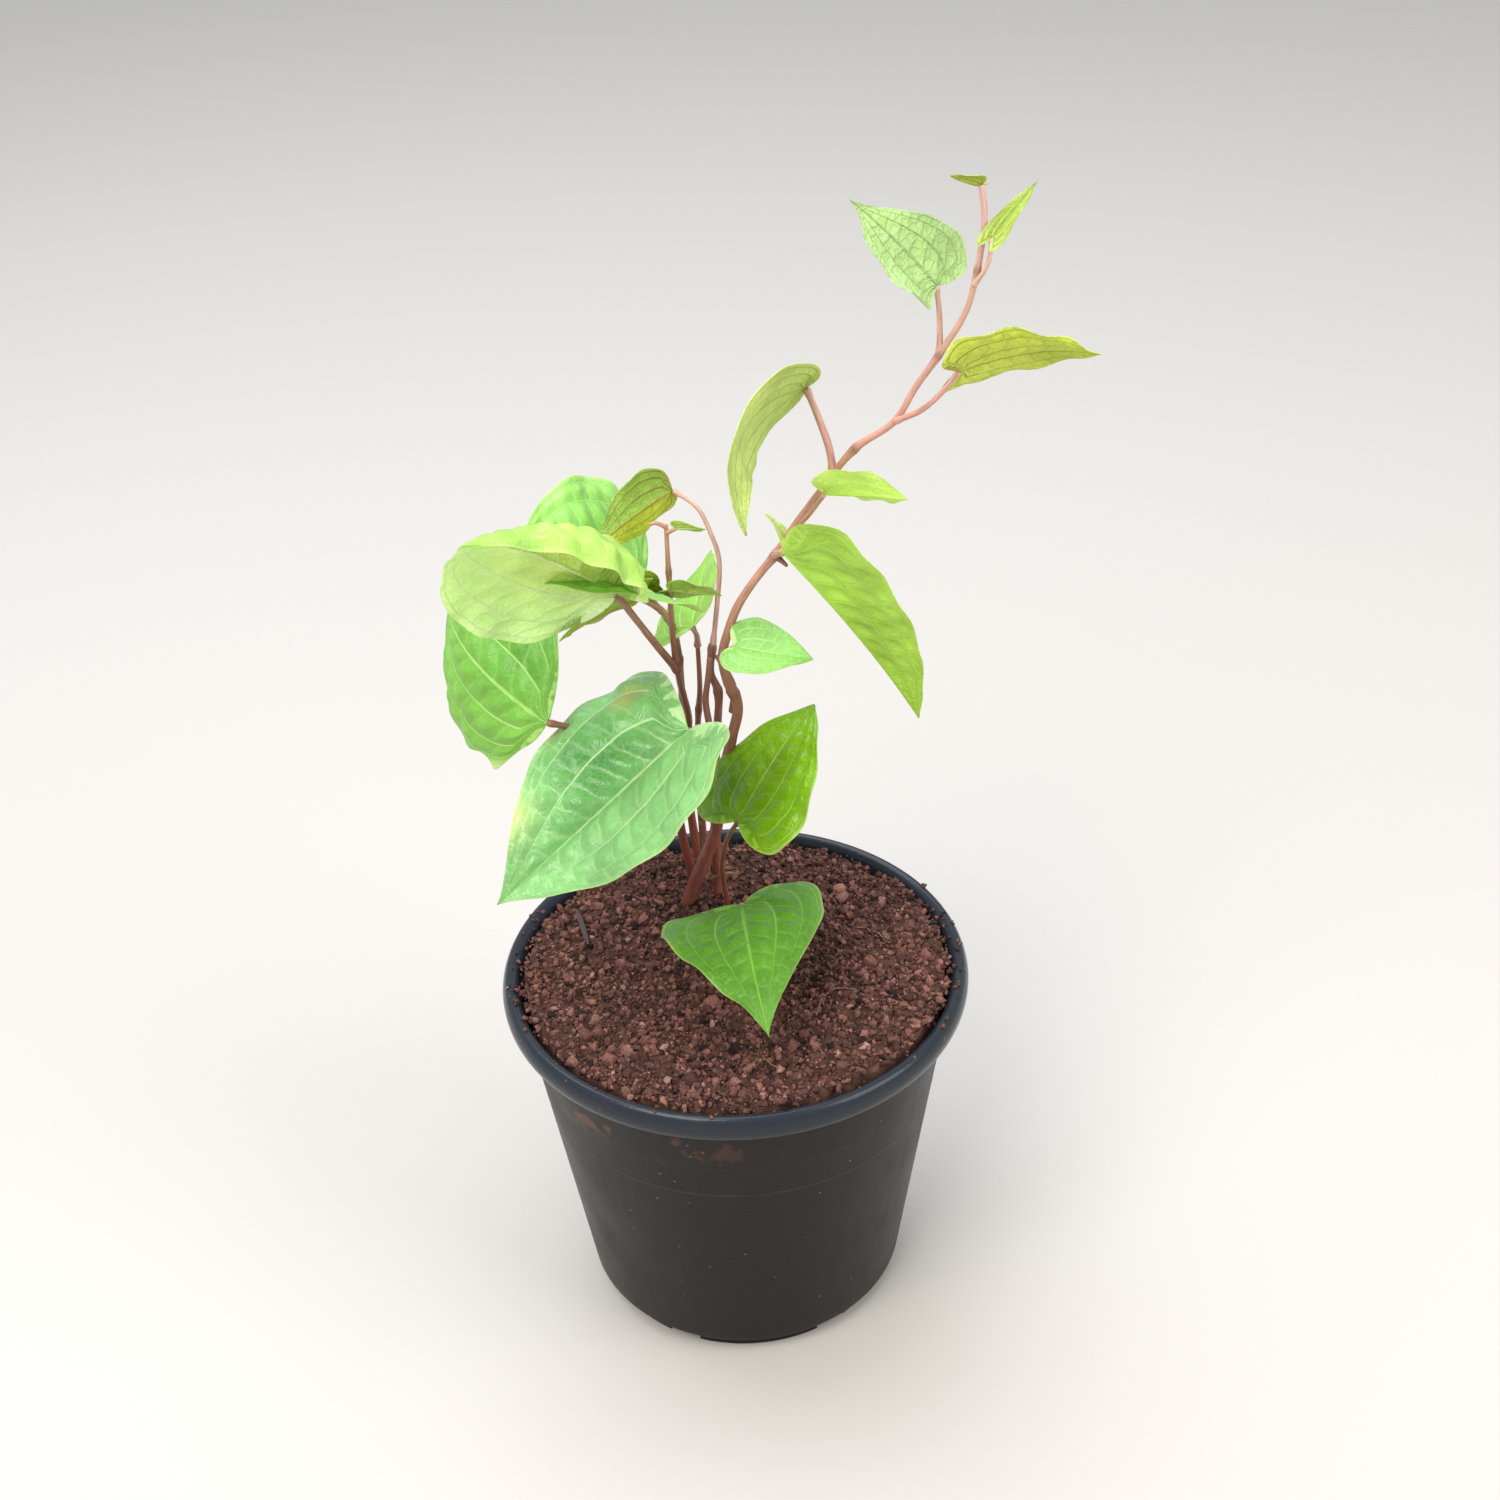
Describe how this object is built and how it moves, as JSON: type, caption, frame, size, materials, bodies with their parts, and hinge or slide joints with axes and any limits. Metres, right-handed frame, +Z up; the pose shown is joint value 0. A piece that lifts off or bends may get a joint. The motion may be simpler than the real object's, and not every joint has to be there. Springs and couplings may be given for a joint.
{
  "type": "potted climbing houseplant",
  "caption": "Young potted betel vine: heart-shaped green leaves on jointed climbing stems, rooted in brown soil in a round black nursery pot with a rolled rim.",
  "frame": {"origin": "middle of the object's footprint box in X and Y, on the floor under the pot's foot ring", "axes": "+Z up along the pot's axis; the tallest stem leans towards +X; the side with the three lowest leaves faces -Y"},
  "size_m": [0.1944, 0.1546, 0.3806],
  "materials": {
    "pot_plastic": "black polypropylene, satin, dusty below the collar",
    "soil": "loose reddish-brown crumbs",
    "husk": "dry plant husk",
    "root": "pale fibrous root",
    "stem": "reddish-brown green stem, slightly waxy",
    "petiole": "pink to tan leaf stalk, slightly waxy",
    "leaf_deep": "glossy deep green blade",
    "leaf_mid": "satin mid green blade",
    "leaf_bright": "thin yellow-green young blade"
  },
  "bodies": {
    "root": {"aerial_root": "root", "base_rootlet": "root", "husk": "husk", "leaf_back": "leaf_mid", "leaf_centre": "leaf_bright", "leaf_crown_bud": "leaf_bright", "leaf_crown_left": "leaf_bright", "leaf_crown_right": "leaf_bright", "leaf_front_large": "leaf_mid", "leaf_front_right": "leaf_deep", "leaf_hanging": "leaf_bright", "leaf_left_large": "leaf_bright", "leaf_left_lower": "leaf_mid", "leaf_left_under": "leaf_bright", "leaf_lower_small": "leaf_bright", "leaf_mid_large": "leaf_bright", "leaf_mid_small": "leaf_bright", "leaf_narrow": "leaf_bright", "leaf_over_soil": "leaf_mid", "leaf_rolled_tiny": "leaf_bright", "leaf_round_small": "leaf_bright", "leaf_upper_mid": "leaf_bright", "leaf_upper_right": "leaf_bright", "petiole_back": "petiole", "petiole_centre": "petiole", "petiole_crown_left": "petiole", "petiole_crown_right": "petiole", "petiole_front_large": "petiole", "petiole_front_right": "petiole", "petiole_hanging": "petiole", "petiole_left_large": "petiole", "petiole_left_lower": "petiole", "petiole_left_under": "petiole", "petiole_lower_small": "petiole", "petiole_mid_large": "petiole", "petiole_mid_small": "petiole", "petiole_narrow": "petiole", "petiole_over_soil": "petiole", "petiole_rolled_tiny": "petiole", "petiole_upper_mid": "petiole", "petiole_upper_right": "petiole", "pot": "pot_plastic", "soil": "soil", "strand_inner": "stem", "strand_outer": "stem", "twig_left": "petiole", "vine_back": "stem", "vine_centre": "stem", "vine_left": "stem", "vine_main": "stem", "vine_rear": "stem"}
  },
  "joints": []
}
